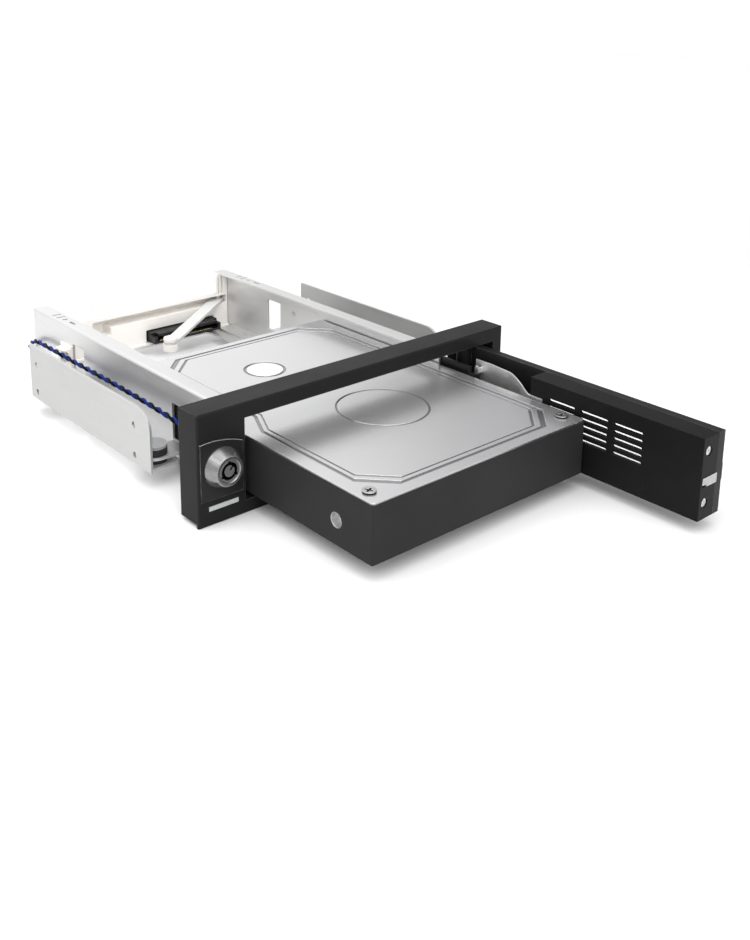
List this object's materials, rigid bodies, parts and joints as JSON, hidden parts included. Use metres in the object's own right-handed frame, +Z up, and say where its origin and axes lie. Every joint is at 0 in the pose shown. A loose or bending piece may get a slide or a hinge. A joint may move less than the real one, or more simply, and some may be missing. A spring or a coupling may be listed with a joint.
{
  "type": "hot swap drive cage",
  "caption": "Trayless hot swap cage that fits a drive into a wider bay, with a hinged locking door, rubber mounted sheet walls, an ejector lever and a drive part way out.",
  "frame": {"origin": "centre of the bounding box at its lowest level, with the door open and the drive part way out", "axes": "+Y goes back into the bay, +Z is up, +X is to the right seen from the front"},
  "size_m": [0.149, 0.2779, 0.0409],
  "materials": {
    "bezel_plastic": "fine satin moulding",
    "panel_gloss": "polished",
    "light_bar": "translucent",
    "circuit_board": "solder mask",
    "lamp": "clear",
    "chromed": "turned and plated",
    "zinc_screw": "zinc plated",
    "sheet_steel": "zinc coated sheet",
    "bracket_steel": "zinc coated sheet",
    "damper_rubber": "matt",
    "cap_plastic": "satin",
    "white_plastic": "satin moulding",
    "plug_black": "satin moulding",
    "contact_gold": "gold plated",
    "blue_wire": "soft sheath",
    "black_wire": "soft sheath",
    "door_plastic": "fine satin moulding",
    "spring_steel": "bright rolled",
    "lever_grey": "satin",
    "drive_black": "satin black",
    "drive_silver": "pressed and brushed",
    "core_steel": "machined"
  },
  "bodies": {
    "cage": {"bezel_frame": "bezel_plastic", "lock_panel": "panel_gloss", "light_window": "light_bar", "light_board": "circuit_board", "status_lights": "lamp", "light_board_screws": "zinc_screw", "lock_body": "chromed", "lock_nut": "zinc_screw", "left_wall": "sheet_steel", "right_wall": "sheet_steel", "floor_sheet": "sheet_steel", "floor_rivets": "zinc_screw", "bezel_screws": "zinc_screw", "left_bracket": "bracket_steel", "right_bracket": "bracket_steel", "rubber_mounts": "damper_rubber", "mount_caps": "cap_plastic", "mount_screws": "zinc_screw", "rear_frame": "white_plastic", "frame_screws": "zinc_screw", "backplane_board": "circuit_board", "backplane_screws": "zinc_screw", "drive_plug": "plug_black", "plug_contacts": "contact_gold", "data_socket": "plug_black", "power_socket": "plug_black", "blue_wire": "blue_wire", "black_wire": "black_wire", "lead_clip": "white_plastic", "lead_plug": "white_plastic", "lever_pin": "zinc_screw", "bar_guides": "zinc_screw", "hinge_pins": "zinc_screw"},
    "door": {"door_front": "door_plastic", "door_inner": "door_plastic", "door_catch": "cap_plastic", "door_screws": "zinc_screw", "link_strap": "spring_steel", "strap_rivet": "zinc_screw"},
    "ejector_bar": {"slide_bar": "plug_black", "strap_pin": "zinc_screw"},
    "lever": {"eject_lever": "lever_grey", "lever_pusher": "white_plastic"},
    "drive": {"drive_housing": "drive_black", "drive_cover": "drive_silver", "drive_cover_screws": "zinc_screw", "drive_board": "circuit_board", "drive_connector": "plug_black"},
    "lock": {"lock_core": "core_steel", "lock_cam": "zinc_screw", "lock_cam_screw": "zinc_screw"}
  },
  "joints": [
    {"name": "bar_slide", "type": "slide", "parent": "cage", "child": "ejector_bar", "axis": [0, 1, 0], "range_m": [0, 0.0418]},
    {"name": "lever_swing", "type": "hinge", "parent": "cage", "child": "lever", "pos_m": [0.0455, 0.13265, 0.0186], "axis": [0, 0, 1], "range_deg": [-37.7, 0]},
    {"name": "drive_slide", "type": "slide", "parent": "ejector_bar", "child": "drive", "axis": [0, 1, 0], "range_m": [-0.08, 0.0334]},
    {"name": "door_swing", "type": "hinge", "parent": "cage", "child": "door", "pos_m": [0.0582, -0.02585, 0.02], "axis": [0, 0, 1], "range_deg": [0, 20]},
    {"name": "lock_turn", "type": "hinge", "parent": "cage", "child": "lock", "pos_m": [-0.0653, -0.02425, 0.0208], "axis": [0, 1, 0], "range_deg": [0, 90]}
  ],
  "couplings": [
    {"joint": "lever_swing", "follows": "bar_slide", "rad_per_m": -15.741}
  ]
}
